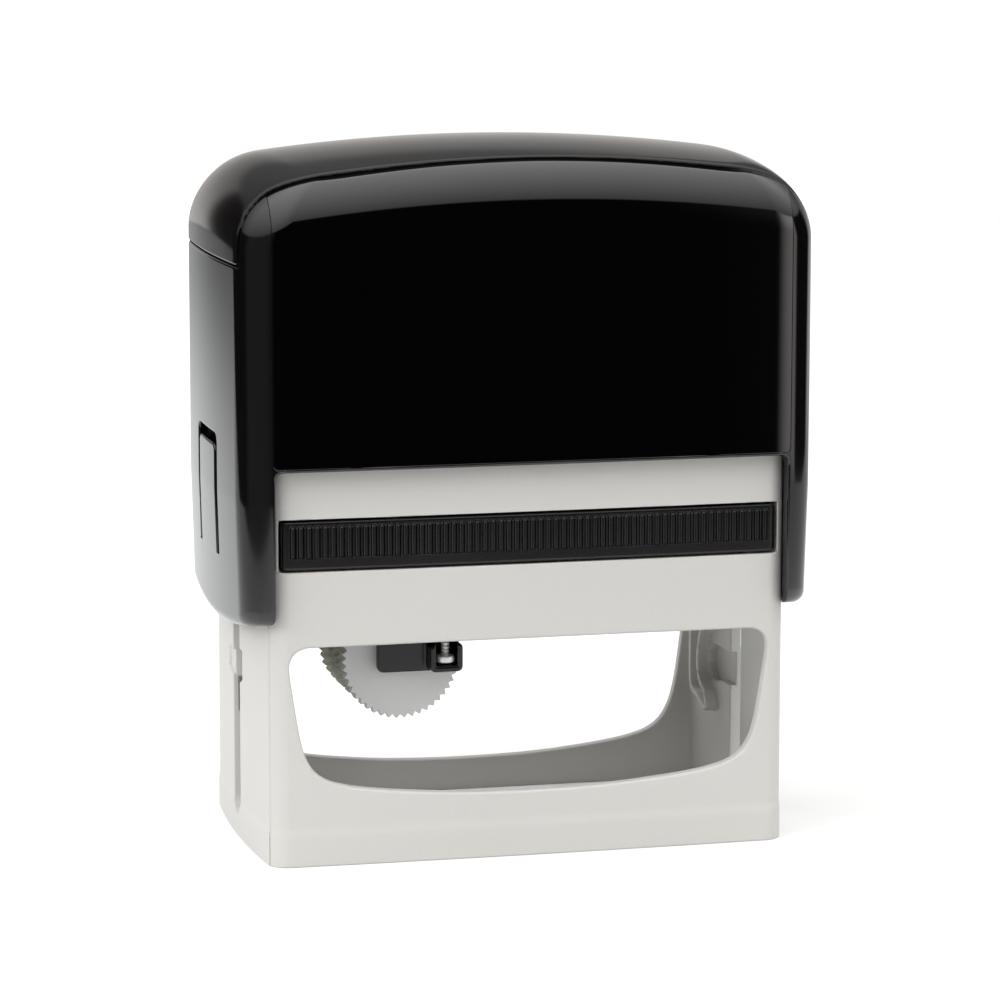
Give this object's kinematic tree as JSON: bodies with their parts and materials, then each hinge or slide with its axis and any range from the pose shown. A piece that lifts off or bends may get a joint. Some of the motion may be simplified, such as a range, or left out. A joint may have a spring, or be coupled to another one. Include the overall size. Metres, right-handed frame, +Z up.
{
  "type": "self-inking date stamp",
  "caption": "Self-inking date stamp with a light base, a gloss black cap on side wings, a flip-over printing carriage, thumbwheel date bands and a ribbed ink cassette.",
  "frame": {"origin": "centre of the base's footprint, on the surface that the stamp stands on", "axes": "+X to the right seen from the front, +Y from the front to the rear, +Z up along the press direction, reversed"},
  "size_m": [0.098, 0.0562, 0.1164],
  "materials": {
    "base": "fine satin",
    "cassette": "satin",
    "pad": "inked felt",
    "cap": "high gloss",
    "panel": "clear plate over black, high gloss",
    "card": "matt",
    "mechanism": "satin",
    "wheel": "satin",
    "band": "matt",
    "die": "matt",
    "plate": "satin",
    "steel": "bright"
  },
  "bodies": {
    "base": {"base_frame": "base", "ink_cassette": "cassette", "ink_pad": "pad", "return_spring_left": "steel", "return_spring_right": "steel"},
    "cap": {"cap_shell": "cap", "top_cover": "cap", "front_panel": "panel", "front_card": "card", "rear_panel": "panel", "rear_card": "card"},
    "tongue_left": {"lock_tongue_left": "cap"},
    "tongue_right": {"lock_tongue_right": "cap"},
    "carriage": {"carriage_frame": "mechanism", "text_plate": "plate", "text_die": "die", "pivot_pin_left": "steel", "pivot_pin_right": "steel", "follower_pin_left": "steel", "follower_pin_right": "steel", "date_unit_frame": "mechanism", "wheel_axle": "steel", "nose_bar": "steel", "date_screw_front": "steel", "date_screw_rear": "steel", "date_band_day_tens": "band", "date_band_day_units": "band", "date_band_month": "band", "date_band_year": "band"},
    "wheel_day_tens": {"thumbwheel_day_tens": "wheel"},
    "wheel_day_units": {"thumbwheel_day_units": "wheel"},
    "wheel_month": {"thumbwheel_month": "wheel"},
    "wheel_year": {"thumbwheel_year": "wheel"}
  },
  "joints": [
    {"name": "cap_press", "type": "slide", "parent": "base", "child": "cap", "axis": [0, 0, -1], "range_m": [0, 0.0348], "stiffness_N_per_m": 400, "springref_m": -0.012, "deforming": ["return_spring_left", "return_spring_right", "ink_pad"]},
    {"name": "carriage_turn", "type": "hinge", "parent": "cap", "child": "carriage", "pos_m": [0, 0, 0.0423], "axis": [1, 0, 0], "range_deg": [0, 180]},
    {"name": "tongue_left_flex", "type": "hinge", "parent": "cap", "child": "tongue_left", "pos_m": [-0.0485, 0, 0.0498], "axis": [0, 1, 0], "range_deg": [0, 4], "stiffness_Nm_per_rad": 0.3},
    {"name": "tongue_right_flex", "type": "hinge", "parent": "cap", "child": "tongue_right", "pos_m": [0.0485, 0, 0.0498], "axis": [0, -1, 0], "range_deg": [0, 4], "stiffness_Nm_per_rad": 0.3},
    {"name": "wheel_day_tens_turn", "type": "hinge", "parent": "carriage", "child": "wheel_day_tens", "pos_m": [-0.0192, 0, 0.0311], "axis": [0, 1, 0], "continuous": true},
    {"name": "wheel_day_units_turn", "type": "hinge", "parent": "carriage", "child": "wheel_day_units", "pos_m": [-0.0192, 0, 0.0311], "axis": [0, 1, 0], "continuous": true},
    {"name": "wheel_month_turn", "type": "hinge", "parent": "carriage", "child": "wheel_month", "pos_m": [-0.0192, 0, 0.0311], "axis": [0, 1, 0], "continuous": true},
    {"name": "wheel_year_turn", "type": "hinge", "parent": "carriage", "child": "wheel_year", "pos_m": [-0.0192, 0, 0.0311], "axis": [0, 1, 0], "continuous": true}
  ],
  "couplings": [
    {"joint": "carriage_turn", "follows": "cap_press", "rad_per_m": 90.27}
  ]
}
